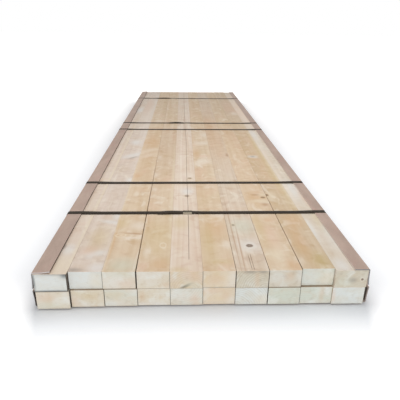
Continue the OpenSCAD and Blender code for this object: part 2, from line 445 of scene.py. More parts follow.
# %% The studs of the lower layer
LOWER = [
    {"tone": "cream", "pith": (-14, -40), "end": "cream",
     "marks": "rosy -14 6 14 8, frost 24 10 5 14, sage -10 -12 18 6"},
    {"tone": "tan", "pith": (18, 52), "end": "cream",
     "marks": "straw -3 5 18 8, rosy -26 -7 9 9"},
    {"tone": "tan", "pith": (-30, -44), "end": "linen",
     "marks": "straw -13 6 16 7, frost -14 -14 18 6, frost 26 14 8 6"},
    {"tone": "cream", "pith": (12, -58), "end": "cream",
     "marks": "amber -23 1 5 9, frost -8 -17 26 4"},
    {"tone": "pale", "pith": (-14, 27), "end": "linen", "end_rings": 0.3,
     "marks": "frost -8 2 24 13, rosy 16 -7 7 9"},
    {"tone": "tan", "pith": (30, -50), "end": "warm",
     "marks": "rosy -14 12 18 5, cream 4 -4 28 14, amber 14 0 7 7, frost 27 -10 9 11"},
    {"tone": "cream", "pith": (-30, -26), "end": "frost", "end_rings": 0.5,
     "marks": "cream 22 -10 12 9"},
    {"tone": "honey", "pith": (16, -64), "end": "sage", "marks": "sage 1 4 20 10"},
    {"tone": "tan", "pith": (-22, 60), "end": "sage",
     "marks": "amber 11.5 2 4 16, frost 23 12 6 8, frost -4 -17 24 4"},
    {"tone": "cream", "pith": (24, -42), "end": "frost", "unshaded_joints": True, "marks": "rosy -29 -3 3 14"},
]

# %% Build all twenty studs
studs = {}
rows = {f"stud_{layer}_{i:02d}": row for layer, wood in (("upper", UPPER), ("lower", LOWER))
        for i, row in enumerate(wood, 1)}
for node, row in rows.items():
    low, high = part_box(node)
    piece = plane_stud(node)
    for check in row.get("checks", []):
        open_check(low, high, *check)
    if "worn" in row:
        wear_corner(low, high, *row["worn"])
    bpy.ops.object.mode_set(mode="OBJECT")
    for right, start, end, width, depth in row.get("checks", []):
        if end - start > LONG_CHECK:
            bend_check(piece, low, high, right)
    if "upper" in node:
        beside = [node[:-2] + f"{int(node[-2:]) + step:02d}" for step in (-1, 1)]
        left_gap = low.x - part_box(beside[0])[1].x if beside[0] in rows else 0
        right_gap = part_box(beside[1])[0].x - high.x if beside[1] in rows else 0
        close_joints(piece, low, high, left_gap, right_gap)
    studs[node] = shape_done(piece, "planed_" + node, node)
print(len(studs), "studs,", count_faces(studs.values()), "faces")

# %% [markdown]
# ## Planed pine
# Pine is pale earlywood with darker latewood at the end of each year's growth. Its rings are nested
# cones round the pith, so they are drawn in solid space: on the ends they come out as arcs, and on
# the planed faces as long lines and arches. With them come bands of tone, straw and rosy clouds, faint
# ripples across the grain, pale flecks and curls, fine fibres, and the knots and patches of the rows.

# %% Tones of the planed faces and the sawn ends
# Lighter wood, deeper wood, latewood, and how much the clouds show
WOOD_TONES = {
    "pale": ("#E0D1C3", "#D6C3B1", "#B99A80", 0.25),
    "silver": ("#E2D4C8", "#D6C4B4", "#B69E8A", 0.25),
    "rose": ("#E6D7C7", "#DDCAB5", "#BF967D", 0.2),
    "cream": ("#E0D6C7", "#D5C7B5", "#BEA488", 0.3),
    "beige": ("#DFD0BE", "#D3C0AA", "#AD8A6E", 0.35),
    "tan": ("#DFCBB2", "#D4BC9E", "#BC966D", 0.45),
    "honey": ("#D8C5AC", "#CCB596", "#AE8A62", 0.45),
}
# Cool wood, warm wood and the rings
END_TONES = {
    "frost": ("#D9DDDA", "#D7D7CF", "#C2BDB0"),
    "cream": ("#DCD5C7", "#D8CDB9", "#C2AF94"),
    "warm": ("#DACDBB", "#D8C7AB", "#B9A284"),
    "dusk": ("#D0CABA", "#CDC2AE", "#AC9E89"),
    "sage": ("#D0D4C9", "#D1CEBF", "#B7B19E"),
    "linen": ("#D8D7CC", "#D8CFBE", "#B9B09D"),
}

# %% Tones of the knots and patches
# How much of a soft patch shows, from its middle to its rim
FADE = ((0, 1), (0.25, 0.85), (0.7, 0.15), (1, 0))


def soft(colour, cover):
    """The stops of a patch that fades out from its middle."""
    return [(place, colour, share * cover) for place, share in FADE]


# From the middle outwards: place, colour, cover. A knot's rim is at 0.4.
SPOT_TONES = {
    "frost": soft("#E6E7E6", 0.5),
    "pale": soft("#E9DDCE", 0.6),
    "cream": soft("#E4D6BE", 0.6),
    "rosy": soft("#DCBBA4", 0.5),
    "blush": soft("#F2D8C2", 0.6),
    "amber": soft("#CFA577", 0.45),
    "straw": soft("#CDB683", 0.4),
    "warmth": soft("#CFA577", 0.22),
    "shade": soft("#B5957A", 0.25),
    "olive": soft("#B9A568", 0.5),
    "sage": soft("#CDD2C2", 0.5),
    "vein": soft("#AE8460", 0.6),
    "smudge": soft("#8C857F", 0.55),
    # painted shade along the rims of a sawn end
    "grime": soft("#5E666B", 0.85),
    "wedge": soft("#7D7868", 0.8),
    "tight": [(0, "#93826F", 0.85), (0.27, "#7B6A5D", 0.95), (0.4, "#9A8878", 0.8), (0.5, "#E4DDD3", 0.4),
              (1, "#E4DDD3", 0)],
    "pin": [(0, "#94795F", 0.85), (0.3, "#8C7056", 0.85), (0.42, "#B99A74", 0.55), (0.62, "#DDC9AA", 0.3),
            (1, "#DDC9AA", 0)],
    "ghost": [(0, "#DDC7A8", 0.4), (0.25, "#D8BF9C", 0.45), (0.36, "#E9DECE", 0.6), (0.52, "#DCC7A8", 0.15),
              (1, "#DCC7A8", 0)],
    "swirl": [(0, "#EBDCC4", 0.7), (0.2, "#CFAC82", 0.45), (0.33, "#E9DAC1", 0.65), (0.48, "#CDAB80", 0.35),
              (1, "#D8BC95", 0)],
}
# These grew with the tree, and push its rings aside
KNOTS = ("tight", "pin", "ghost", "swirl")
# On a sawn end these are only faint tints
TINTS = ("frost", "cream", "rosy", "amber", "straw", "sage")
TINT_SHARE = 0.65
print(len(WOOD_TONES), "tones of wood,", len(END_TONES), "of ends,", len(SPOT_TONES), "kinds of spot")

# %% Sizes of the pattern in the wood
# Blots in millimetres across, along and up, how much finer detail they hold and how much they swirl
PINE_PATTERNS = {
    "drift": ((60, 800, 60), 2, 0),
    "bands": ((18, 900, 18), 2, 0),
    "straw": ((42, 80, 42), 3, 0.5),
    "rosy": ((50, 120, 50), 3, 0.5),
    "ripples": ((50, 44, 50), 2, 1.5),
    "flecks": ((32, 30, 32), 2, 0.7),
    "curls": ((36, 95, 36), 2, 1.2),
    # Real fibres are a hundredth of this across; they are drawn as coarse as the picture can show
    "fibres": ((2.6, 130, 2.6), 3, 0),
    "ragged": ((9, 14, 9), 3, 0),
    "blots": ((20, 20, 14), 4, 0.5),
    "saw": ((60, 60, 1.6), 2, 0),
}
RING_SPACING = 4.6 * MM
# A log is a slow cone, and its pith is never quite straight
LOG_TAPER = 3.5 * MM
PITH_DRIFT = 16 * MM
KNOT_PUSH = 7 * MM
KNOT_RIM = 0.4
RAGGED = 0.5
# A half size so great that a place in that direction makes no difference
ANY = 10000


# %% Find how far a point is from a spot, and paint it
def read_spots(text):
    """The spots of a row, each as its kind, its place, its half sizes and its turn."""
    for spot in text.split(", ") if text else []:
        kind, *measures = spot.split()
        yield (kind, *map(float, measures), 0)[:6]


def spot_distance(put, place, ragged, middle, half_size, turns):
    """The distance from the middle of a spot, about 1 at its uneven rim; sizes in mm, turns in degrees."""
    inputs = {"Vector": place, "Location": middle, "Scale": [half * MM for half in half_size],
              "Rotation": [math.radians(turn) for turn in turns]}
    inside = put("Mapping", inputs, vector_type="TEXTURE")[0]
    distance = put("VectorMath", {0: inside}, **LENGTH)[1]
    return put("Math", {0: ragged, 1: RAGGED, 2: distance}, **TIMES_PLUS)[0]


def paint_spot(put, colour, kind, distance, strength=1.0):
    """Lays the tones of a spot over a colour."""
    share = put("Math", {0: distance, 1: KNOT_RIM}, **TIMES)[0]
    tone = put("ValToRGB", {0: share}, stops=SPOT_TONES[kind])
    cover = put("Math", {0: tone["Alpha"], 1: strength}, **TIMES)[0]
    return put("Mix", {0: cover, 6: colour, 7: tone["Color"]}, **COLOUR)[2]


# %% [markdown]
# The rings are the distance from the pith, counted in years. Each year darkens slowly from its start
# and ends sharply, and some years have more latewood than others.

# %% Growth rings
# Ranges are written as the inputs they fill: where one starts (1) and ends (2), and what it gives there
# (3 and 4) if that isn't 0 and 1. A knot's push on the rings fades out from its middle, in half sizes.
KNOT_REACH = {1: 0.6, 2: 3.2, 3: 1, 4: 0}
WEAKEST_YEAR = 0.35
# The shares of a year at which the wood starts to darken and is darkest
DARKENING = {1: 0.3, 2: 0.97}


def growth_rings(put, place, noise, pith, knots):
    """How much latewood is here, from 0 to 1."""
    inputs = {"Vector": place, "Location": pith, "Scale": (1, ANY, 1)}
    outward = put("Mapping", inputs, vector_type="TEXTURE")[0]
    radius = put("VectorMath", {0: outward}, **LENGTH)[1]
    along = put("SeparateXYZ", {0: place})["Y"]
    radius = put("Math", {0: along, 1: LOG_TAPER, 2: radius}, **TIMES_PLUS)[0]
    radius = put("Math", {0: noise["drift"], 1: PITH_DRIFT, 2: radius}, **TIMES_PLUS)[0]
    for distance in knots:
        near = put("MapRange", {0: distance, **KNOT_REACH}, **SMOOTH)[0]
        radius = put("Math", {0: near, 1: KNOT_PUSH, 2: radius}, **TIMES_PLUS)[0]
    years = put("Math", {0: radius, 1: RING_SPACING}, **OVER)[0]
    year = put("Math", {0: years}, operation="FLOOR")[0]
    strength = put("TexWhiteNoise", {"W": year}, noise_dimensions="1D")["Value"]
    strength = put("MapRange", {0: strength, 3: WEAKEST_YEAR, 4: 1})[0]
    season = put("Math", {0: years}, operation="FRACT")[0]
    late = put("MapRange", {0: season, **DARKENING}, **SMOOTH)[0]
    return put("Math", {0: late, 1: strength}, **TIMES)[0]


# %% The planed faces
STRAW_TONE = "#CCB389"
ROSY_TONE = "#DDBBA2"
FLECK_TONE = "#EADFCF"
# How much of the rings and of the fibres shows on a planed face, if the row of the stud says nothing else
FACE_RINGS = 0.15
FIBRE_SHARE = 0.06


def planed_face(put, noise, row, late):
    """The colour of a planed face before its spots: bands, clouds, ripples, flecks, rings and fibres."""
    light, deep, latewood, clouds = WOOD_TONES[row["tone"]]
    # Each with its pattern, where that starts and is full, its cover and its tone
    layers = [("bands", 0.25, 0.75, 1, deep), ("straw", 0.45, 0.8, clouds, STRAW_TONE),
              ("rosy", 0.45, 0.8, clouds, ROSY_TONE), ("ripples", 0.5, 0.8, 0.35, latewood),
              ("ripples", 0.5, 0.3, 0.35, light), ("flecks", 0.52, 0.84, 0.6, FLECK_TONE),
              ("curls", 0.56, 0.76, 0.55, FLECK_TONE)]
    wood = paint_layers(put, light, noise, layers)
    shown = put("Math", {0: late, 1: row.get("rings", FACE_RINGS)}, **TIMES)[0]
    wood = put("Mix", {0: shown, 6: wood, 7: latewood}, **COLOUR)[2]
    return paint_layers(put, wood, noise, [("fibres", 0.45, 0.8, FIBRE_SHARE, latewood)])


# %% The sawn ends
TORN_TONE = "#E6E9E5"
END_RINGS = 0.12


def sawn_end(put, noise, row, late):
    """The colour of a sawn end before its marks: cool and warm blots, torn fibres and faint rings."""
    cool, warm, ring = END_TONES[row["end"]]
    layers = [("blots", 0.35, 0.7, 1, warm), ("flecks", 0.5, 0.75, 0.5, TORN_TONE),
              ("ragged", 0.5, 0.8, 0.4, ring)]
    sawn = paint_layers(put, cool, noise, layers)
    shown = put("Math", {0: late, 1: row.get("end_rings", END_RINGS)}, **TIMES)[0]
    return put("Mix", {0: shown, 6: sawn, 7: ring}, **COLOUR)[2]


# %% [markdown]
# Painted shade darkens the faces inside the joints between two studs, but only near the front end,
# where those gaps would lie in shade. The top and the outer sides of the bundle are left without it.

# %% Painted shade in the joints at the front
# Painted shade in the joints: its colour, how much shows between studs and between the layers, how far back
# from the front it reaches, and where the outer sides start that it leaves alone
JOINT_SHADE = "#2E2825"
JOINT_SHADE_SHARE = 0.88
LAYER_JOINT_SHADE = 0.62
JOINT_SHADE_DEPTH = 60 * MM
UNSHADED_SIDE = 315 * MM
LAYER_JOINT, STACK_TOP = (end.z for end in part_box("stud_upper_01"))
JOINT_REACH = 3 * MM
# How squarely a face looks at its neighbour where the painted shade starts and is full
TOWARDS_NEIGHBOUR = {1: 0.5, 2: 0.68}


def shade_joints(put, place, wood, facing, front):
    """Paints shade on the faces that look at a neighbour, near the front end and below the top."""
    from_joint = put("VectorMath", {0: place, 1: (0, 0, LAYER_JOINT)}, **MINUS)[0]
    axes = put("SeparateXYZ", {0: put("VectorMath", {0: from_joint}, **SIZE)[0]})
    here = put("SeparateXYZ", {0: place})
    joints = []
    for across, limit, share in (("X", UNSHADED_SIDE, 1), ("Z", JOINT_REACH, LAYER_JOINT_SHADE)):
        between = put("MapRange", {0: axes[across], 1: limit, 2: limit + MM, 3: share, 4: 0})[0]
        turned = put("MapRange", {0: facing[across], **TOWARDS_NEIGHBOUR}, **SMOOTH)[0]
        joints.append(put("Math", {0: between, 1: turned}, **TIMES)[0])
    shaded = put("Math", {0: joints[0], 1: joints[1]}, **GREATER)[0]
    depth = put("MapRange", {0: here["Y"], 1: front, 2: front + JOINT_SHADE_DEPTH, 3: JOINT_SHADE_SHARE, 4: 0})[0]
    shaded = put("Math", {0: shaded, 1: depth}, **TIMES)[0]
    below = put("MapRange", {0: here["Z"], 1: STACK_TOP - ARRIS, 2: STACK_TOP - ARRIS - MM})[0]
    shaded = put("Math", {0: shaded, 1: below}, **TIMES)[0]
    return put("Mix", {0: shaded, 6: wood, 7: JOINT_SHADE}, **COLOUR)[2]


# %% Put the wood of one stud together
# How deep a mark on the sawn end reaches, in mm, and the middle value of a noise
END_REACH = 100
MEAN_NOISE = 0.5
# Every stud starts this much further on in the patterns than the one before it
NEXT_STUD = 7.3
# How squarely a face looks along the stud where the sawn end starts and is full
END_FACING = {1: 0.75, 2: 0.95}
# The heights of saw marks and latewood against that of the fibres, and the relief of all
SAW_HEIGHT = 1.5
LATE_HEIGHT = 0.3
PINE_RELIEF = {"Strength": 0.3, "Distance": 0.3 * MM}
# The least roughness, what the fibres add and what the saw adds
PINE_ROUGH, FIBRE_ROUGH, SAW_ROUGH = 0.52, 0.15, 0.22
PINE_GLOSS = {"IOR": 1.5, "Specular IOR Level": 0.18}


def planed_pine(node, row):
    """Planed pine with sawn ends, for one stud: matt, with raised fibres that the saw tore at the ends."""
    offset = NEXT_STUD * list(rows).index(node)
    material, put, shader, place, noise = start_material("planed_pine_" + node, PINE_PATTERNS, offset)
    low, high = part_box(node)
    centre = (low + high) / 2
    ragged = put("Math", {0: noise["ragged"], 1: MEAN_NOISE}, **MINUS)[0]
    spots = []
    for kind, right, behind, half_x, half_y, turn in read_spots(row.get("spots")):
        middle = (centre.x + right * MM, low.y + behind * MM, 0)
        distance = spot_distance(put, place, ragged, middle, (half_x, half_y, ANY), (0, 0, turn))
        spots.append((kind, distance))
    pith = centre + Vector((row["pith"][0], 0, row["pith"][1])) * MM
    late = growth_rings(put, place, noise, pith, [distance for kind, distance in spots if kind in KNOTS])
    wood = planed_face(put, noise, row, late)
    for kind, distance in spots:
        wood = paint_spot(put, wood, kind, distance)

    sawn = sawn_end(put, noise, row, late)
    for kind, right, above, half_x, half_z, turn in read_spots(row["marks"]):
        middle = (centre.x + right * MM, low.y, centre.z + above * MM)
        distance = spot_distance(put, place, ragged, middle, (half_x, END_REACH, half_z), (0, turn, 0))
        sawn = paint_spot(put, sawn, kind, distance, TINT_SHARE if kind in TINTS else 1.0)
    facing = put("VectorMath", {0: put("NewGeometry")["Normal"]}, **SIZE)[0]
    facing = put("SeparateXYZ", {0: facing})
    at_end = put("MapRange", {0: facing["Y"], **END_FACING}, **SMOOTH)[0]
    # painted shade in the joints, unless the row leaves it out
    if not row.get("unshaded_joints"):
        wood = shade_joints(put, place, wood, facing, low.y)
    surface = put("Mix", {0: at_end, 6: wood, 7: sawn}, **COLOUR)[2]

    torn = put("Math", {0: noise["saw"], 1: at_end}, **TIMES)[0]
    height = put("Math", {0: torn, 1: SAW_HEIGHT, 2: noise["fibres"]}, **TIMES_PLUS)[0]
    height = put("Math", {0: late, 1: LATE_HEIGHT, 2: height}, **TIMES_PLUS)[0]
    bump = put("Bump", {"Height": height, **PINE_RELIEF})[0]
    rough = put("Math", {0: noise["fibres"], 1: FIBRE_ROUGH, 2: PINE_ROUGH}, **TIMES_PLUS)[0]
    rough = put("Math", {0: at_end, 1: SAW_ROUGH, 2: rough}, **TIMES_PLUS)[0]
    fill(shader, {"Base Color": surface, "Normal": bump, "Roughness": rough, **PINE_GLOSS})
    return material


for node, row in rows.items():
    studs[node].data.materials.append(planed_pine(node, row))
print("nodes in a stud's material:", len(studs["stud_upper_05"].data.materials[0].node_tree.nodes))

# %% [markdown]
# ## The cardboard angles
# An edge board is paper laminated to about 2.5 mm and folded to a right angle. One leg starts as a
# plane, its outer edge is spun round the bend and extruded down for the other leg. It is then cut
# across beside each strap, pressed in where the strap bites, and given its thickness.

# %% Fold one edge board
BOARD_T = 2.5 * MM
BEND = 3.1 * MM
BEND_STEPS = 5
STRAP_W = 16 * MM
BITE = 0.4 * MM
GROOVE_CLEAR = 0.5 * MM
GROOVE = STRAP_W / 2 + GROOVE_CLEAR
GROOVE_SLOPE = 0.8 * MM
BOARD_STATIONS = 48
# Shares of each leg, from the bend, at which it is cut along so that it can spring
LEG_CUTS = (0.4, 0.75)
STRAPS = [f"strap_{i}" for i in range(1, 6)]
strap_y = {name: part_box(name)[1].y - STRAP_W / 2 for name in STRAPS}


def board_cuts(low, high):
    """Places along a board where it is cut: even stations, and both sides of each strap's groove."""
    cuts = [low.y + (high.y - low.y) * k / BOARD_STATIONS for k in range(1, BOARD_STATIONS)]
    for y in strap_y.values():
        cuts = [cut for cut in cuts if abs(cut - y) > 2 * GROOVE]
        cuts += [y - GROOVE - GROOVE_SLOPE, y - GROOVE, y + GROOVE, y + GROOVE + GROOVE_SLOPE]
    return cuts


def fold_board(low, high, side, level):
    """The outer face of one angle as a sheet, grooved for the straps: side 1 is right, level 1 is top."""
    outer_x, inner_x = (high.x, low.x) if side > 0 else (low.x, high.x)
    outer_z = high.z if level > 0 else low.z
    bend_x = outer_x - side * BEND
    flat_low = Vector((min(bend_x, inner_x), low.y, outer_z))
    flat_high = Vector((max(bend_x, inner_x), high.y, outer_z))
    piece = start_piece(bpy.ops.mesh.primitive_plane_add, flat_low, flat_high)
    pick("EDGE", lambda edge: all(abs(v.co.x - bend_x) < TINY for v in edge.verts))
    bpy.ops.mesh.spin(steps=BEND_STEPS, angle=-side * level * math.pi / 2, axis=(0, 1, 0),
                      center=(bend_x, 0, outer_z - level * BEND))
    drop = -level * (high.z - low.z - BEND)
    bpy.ops.mesh.extrude_region_move(TRANSFORM_OT_translate={"value": (0, 0, drop)})
    bpy.ops.mesh.select_all(action="SELECT")
    bpy.ops.mesh.remove_doubles(threshold=TINY)
    for cut in board_cuts(low, high):
        cut_across((0, cut, 0), (0, 1, 0))
    for share in LEG_CUTS:
        cut_across((bend_x + share * (inner_x - bend_x), 0, 0), (1, 0, 0))
        cut_across((0, 0, outer_z - level * BEND + share * drop), (0, 0, 1))
    turn_sheet(lambda face: abs(face.normal.z), level)
    pick("FACE", lambda face: any(abs(face.calc_center_median().y - y) < GROOVE for y in strap_y.values()))
    bpy.ops.transform.shrink_fatten(value=-BITE)
    bpy.ops.object.mode_set(mode="OBJECT")
    return piece


# %% [markdown]
# Between the straps nothing holds the board down, so its two free edges spring away from the wood by
# a millimetre or so. That lift grows from the bend to the free edge. In front of the first strap
# the end is loose: a lower board stands off the side there, and leaves a dark slot beside the wood.

# %% Let the free edges spring, then thicken the board
SIDE_SPRING = 1.0 * MM
LOOSE_SPRING = 2
SLACK_RUN = 90 * MM
# How far a loose end stands off to the side and up, and the flat leg's free edge springs
STAND_OFF = {"top_left": (0, 0, 2.4 * MM), "top_right": (0, 0.2 * MM, 0.1 * MM),
             "bottom_left": (4 * MM, 0, 0), "bottom_right": (6.5 * MM, 0, 0)}
BROKEN_EDGE = 0.35 * MM


def slack(y):
    """How free the board is here: 0 at a strap, 1 well away from one."""
    nearest = min(abs(y - place) for place in strap_y.values())
    return ease((nearest - GROOVE - GROOVE_SLOPE) / SLACK_RUN)


def spring_board(piece, low, high, side, level, stand_off):
    """Moves the points of a board's free edges and loose ends off the wood."""
    corner_x = high.x if side > 0 else low.x
    corner_z = high.z if level > 0 else low.z
    for point in piece.data.vertices:
        across = max(0, abs(point.co.x - corner_x) - BEND) / (high.x - low.x - BEND)
        down = max(0, abs(point.co.z - corner_z) - BEND) / (high.z - low.z - BEND)
        free = slack(point.co.y)
        loose = point.co.y < min(strap_y.values())
        point.co.x += side * SIDE_SPRING * down ** 2 * free * (LOOSE_SPRING if loose else 1)
        point.co.z += stand_off[2] * across ** 2 * free
        if loose:
            point.co.x += side * stand_off[0] * free
            point.co.z += stand_off[1] * free


boards = []
for level_name, level in (("top", 1), ("bottom", -1)):
    for side_name, side in (("left", -1), ("right", 1)):
        corner_name = f"{level_name}_{side_name}"
        node = "edge_protector_" + corner_name
        low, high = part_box(node)
        piece = fold_board(low, high, side, level)
        spring_board(piece, low, high, side, level, STAND_OFF[corner_name])
        thicken(piece, BOARD_T, -1, BROKEN_EDGE, 2)
        boards.append(shape_done(piece, "folded_" + node, node))
print(len(boards), "boards,", count_faces(boards), "faces")

# %% [markdown]
# ## Recycled paperboard
# The board is pressed from recycled paper: a dull, warm grey brown with short lighter and darker
# fibres, slightly mottled and rosy in places. Painted light makes it lighter towards the back. It is
# paler where it is cut, and painted shade darkens the cut ends that lie back in shade. It is quite
# matt. Painted shade darkens the lower boards at the front, most on the left, and makes their inner
# faces nearly black there, for the dark slot beside the wood. Painted shade darkens the inner free
# edges on the left, and painted light lightens them on the right.

# %% Paperboard material
PAPER_PATTERNS = {
    "mottle": ((30, 90, 30), 4, 0),
    "rosy": ((24, 60, 24), 3, 0.5),
    # Paper fibres are a tenth of this; they are drawn coarser so that they show
    "fibres": ((1.6, 6, 1.6), 3, 0),
}
PAPER = "#BBA496"
# Pattern, where it starts and is full, its cover and its tone; the last is painted light towards the back, in
# metres
PAPER_LAYERS = [
    ("mottle", 0.3, 0.7, 1, "#AE988B"),
    ("rosy", 0.5, 0.75, 0.6, "#B8988C"),
    ("fibres", 0.55, 0.8, 0.45, "#C8B5A8"),
    ("fibres", 0.45, 0.2, 0.4, "#8D796D"),
    ("along", -0.3, 0.9, 0.45, "#D0BCB0"),
]
# Ranges in metres, or of the normal for the cut ends and the inner faces
LEFT_TO_RIGHT = {1: -0.1, 2: 0.1}
CUT_ENDS = {1: 0.7, 2: 0.95, 4: 0.9}
BELOW_TOP = {1: 79 * MM, 2: 78 * MM}
# How far up and how far back the painted shade on the lower boards reaches, and how much is left further back
SLOT_SHADE_BELOW = {1: 38 * MM, 2: 30 * MM, 4: 0.85}
SLOT_SHADE_FRONT = {1: -1.15, 2: -0.7, 3: 1, 4: 0.3}
LOOKS_INWARDS = {1: -0.1, 2: -0.25}
# A plain cut and a cut darkened with painted shade; painted shade on the lower boards, left and right;
# the free edges darkened with painted shade on the left and lightened with painted light on the right;
# the nearly black painted shade of the inner faces
CUT_TONES = ("#CBC4C3", "#7C8082")
SLOT_SHADE_TONES = ("#453B37", "#94857D")
EDGE_TONES = ("#54463E", "#DFD0C7")
SLOT_SHADE_INSIDE = "#1E1816"
PAPER_ROUGH = {1: 0.2, 2: 0.8, 3: 0.78, 4: 0.9}
PAPER_RELIEF = {"Strength": 0.3, "Distance": 0.2 * MM}
PAPER_IOR = 1.45


def paperboard():
    """Laminated recycled paperboard, pressed and matt."""
    material, put, shader, place, noise = start_material("recycled_paperboard_pressed", PAPER_PATTERNS)
    axes = put("SeparateXYZ", {0: place})
    facing = put("SeparateXYZ", {0: put("NewGeometry")["Normal"]})
    # the paper's layers, the last of them painted light towards the back
    paper = paint_layers(put, PAPER, {**noise, "along": axes["Y"]}, PAPER_LAYERS)
    # painted shade on the cut ends, all but the flat leg of the upper left board
    cut = put("Math", {0: facing["Y"]}, **SIZE)[0]
    cut = put("MapRange", {0: cut, **CUT_ENDS}, **SMOOTH)[0]
    rightwards = put("MapRange", {0: axes["X"], **LEFT_TO_RIGHT})[0]
    shaded_cut = put("MapRange", {0: axes["Z"], **BELOW_TOP})[0]
    shaded_cut = put("Math", {0: shaded_cut, 1: rightwards}, **GREATER)[0]
    # painted shade on the lower boards, strongest at the front, for the dark slot beside the wood
    slot_shade = put("MapRange", {0: axes["Z"], **SLOT_SHADE_BELOW}, **SMOOTH)[0]
    at_front = put("MapRange", {0: axes["Y"], **SLOT_SHADE_FRONT}, **SMOOTH)[0]
    slot_shade = put("Math", {0: slot_shade, 1: at_front}, **TIMES)[0]
    # painted shade on the inward faces and free edges on the left, painted light on the right
    inwards = put("Math", {0: axes["X"], 1: facing["X"]}, **TIMES)[0]
    inwards = put("MapRange", {0: inwards, **LOOKS_INWARDS}, **SMOOTH)[0]
    for cover, share, (first, second) in ((cut, shaded_cut, CUT_TONES), (slot_shade, rightwards, SLOT_SHADE_TONES),
                                          (inwards, rightwards, EDGE_TONES)):
        tone = put("Mix", {0: share, 6: first, 7: second}, **COLOUR)[2]
        paper = put("Mix", {0: cover, 6: paper, 7: tone}, **COLOUR)[2]
    # painted shade that turns the inner faces of the lower boards nearly black at the front
    inside = put("Math", {0: inwards, 1: slot_shade}, **TIMES)[0]
    paper = put("Mix", {0: inside, 6: paper, 7: SLOT_SHADE_INSIDE}, **COLOUR)[2]
    bump = put("Bump", {"Height": noise["fibres"], **PAPER_RELIEF})[0]
    rough = put("MapRange", {0: noise["mottle"], **PAPER_ROUGH})[0]
    fill(shader, {"Base Color": paper, "Normal": bump, "Roughness": rough, "IOR": PAPER_IOR})
    return material


paper = paperboard()
for piece in boards:
    piece.data.materials.append(paper)
print("board material has", len(paper.node_tree.nodes), "nodes")

# %% [markdown]
# ## The straps
# A strap is one flat band of polyester. A sealed one starts under its seal, runs round the bundle and
# comes back over its own start, through the seal, to a loose tail. A welded one overlaps itself for a
# short lap on one side. So each is one strip: a single edge, extruded from point to point along that
# route, and then given its thickness. The corners of the route come from the measured model.

# %% The measures of a strap's route
STRAP_T = 0.8 * MM
DIP_RUN = 45 * MM
TOP_CLEAR = 0.75 * MM
LAY_GAP = 0.02 * MM
CORNER_R = BEND - BITE
CORNER_STEPS = 5
half_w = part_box("strap_1")[1].x - STRAP_T
low_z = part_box("strap_1")[0].z + STRAP_T
high_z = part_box("edge_protector_top_left")[1].z - BITE
top_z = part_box("stud_upper_01")[1].z + TOP_CLEAR
bottom_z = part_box("stud_lower_01")[0].z
board_edge = {-1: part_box("edge_protector_top_left")[1].x, 1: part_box("edge_protector_top_right")[0].x}
print("strap route in mm:", [round(side / MM, 2) for side in (low_z, high_z, half_w)], "low, high, half wide")


# %% The way round the bundle, across and up
def corner(side, level):
    """Points of one round corner, from the top or bottom of the bundle to its side."""
    x, z = half_w - CORNER_R, (high_z - CORNER_R if level > 0 else low_z + CORNER_R)
    turns = [math.pi / 2 * k / CORNER_STEPS for k in range(CORNER_STEPS + 1)]
    return [(side * (x + CORNER_R * math.sin(t)), z + level * CORNER_R * math.cos(t)) for t in turns]


def half_round(side):
    """The strap's way from the top, round one side, to the bottom, as seen from the middle."""
    edge, inside = board_edge[side], board_edge[side] - side * DIP_RUN
    return [(inside, top_z), (edge, high_z), *corner(side, 1), *corner(side, -1)[::-1], (edge, low_z),
            (inside, bottom_z)]


# %% Where the two ends of a strap meet
# The length of each loose tail, and how far it bows up in its middle
TAILS = {"strap_1": (62 * MM, 1.5 * MM), "strap_4": (75 * MM, 2.5 * MM), "strap_5": (95 * MM, 2.5 * MM)}
TAIL_STEPS = 9
TAIL_STRAY = math.tan(math.radians(2))
RAMP = 30 * MM
LAPS = {"strap_2": -1, "strap_3": 1}
LAP_LENGTH = 40 * MM
LAP_RAMP = 8 * MM


def sealed_route(seal, tail, tail_lift):
    """From under the seal to the left, round the bundle and back over the start, to the loose tail."""
    stop, start = (end.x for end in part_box(seal))
    over = top_z + STRAP_T + LAY_GAP
    shares = [k / TAIL_STEPS for k in range(1, TAIL_STEPS + 1)]
    lifts = [tail_lift * math.sin(math.pi * u) for u in shares]
    spring = [(stop - tail * u, over + lift) for u, lift in zip(shares, lifts)]
    way = half_round(-1) + half_round(1)[::-1]
    return [(start, top_z), *way, (start + RAMP, top_z), (start, over), (stop, over), *spring], stop


def welded_route(side):
    """From the lap down one side, round the bundle and down that side again, over the start."""
    middle = (low_z + high_z) / 2
    upper, lower = middle + LAP_LENGTH / 2, middle - LAP_LENGTH / 2
    over = side * (half_w + STRAP_T + LAY_GAP)
    down = corner(side, -1)[::-1] + half_round(side)[-2:]
    back = half_round(-side)[::-1] + half_round(side)[:2] + corner(side, 1)
    lap = [(side * half_w, upper + LAP_RAMP), (over, upper), (over, lower)]
    return [(side * half_w, upper), *down, *back, *lap]


# %% Extrude each strap along its route
# The start is a plane too narrow to be seen, and its two edges are merged into one
START_MERGE = 1.5 * MM


def lay_strap(node, route, tail_x=-math.inf):
    """One strip along the route, with its thickness outwards; its tail, left of tail_x, strays forwards."""
    stops = [Vector((x, strap_y[node], z)) for x, z in route]
    width = Vector((0, STRAP_W / 2, 0))
    piece = start_piece(bpy.ops.mesh.primitive_plane_add, stops[0] - width, stops[0] + width)
    pick("EDGE", lambda edge: True)
    bpy.ops.mesh.remove_doubles(threshold=START_MERGE)
    pick("EDGE", lambda edge: True)
    for here, there in zip(stops, stops[1:]):
        step = there - here
        if here.z > top_z + STRAP_T and here.x < tail_x + TINY:
            step.y = -abs(step.x) * TAIL_STRAY
        bpy.ops.mesh.extrude_region_move(TRANSFORM_OT_translate={"value": step})
    turn_sheet(lambda face: -face.calc_center_median().z, -1)
    bpy.ops.object.mode_set(mode="OBJECT")
    thicken(piece, STRAP_T, 1, STRAP_T / 4, 2)
    return shape_done(piece, "band_" + node, node)


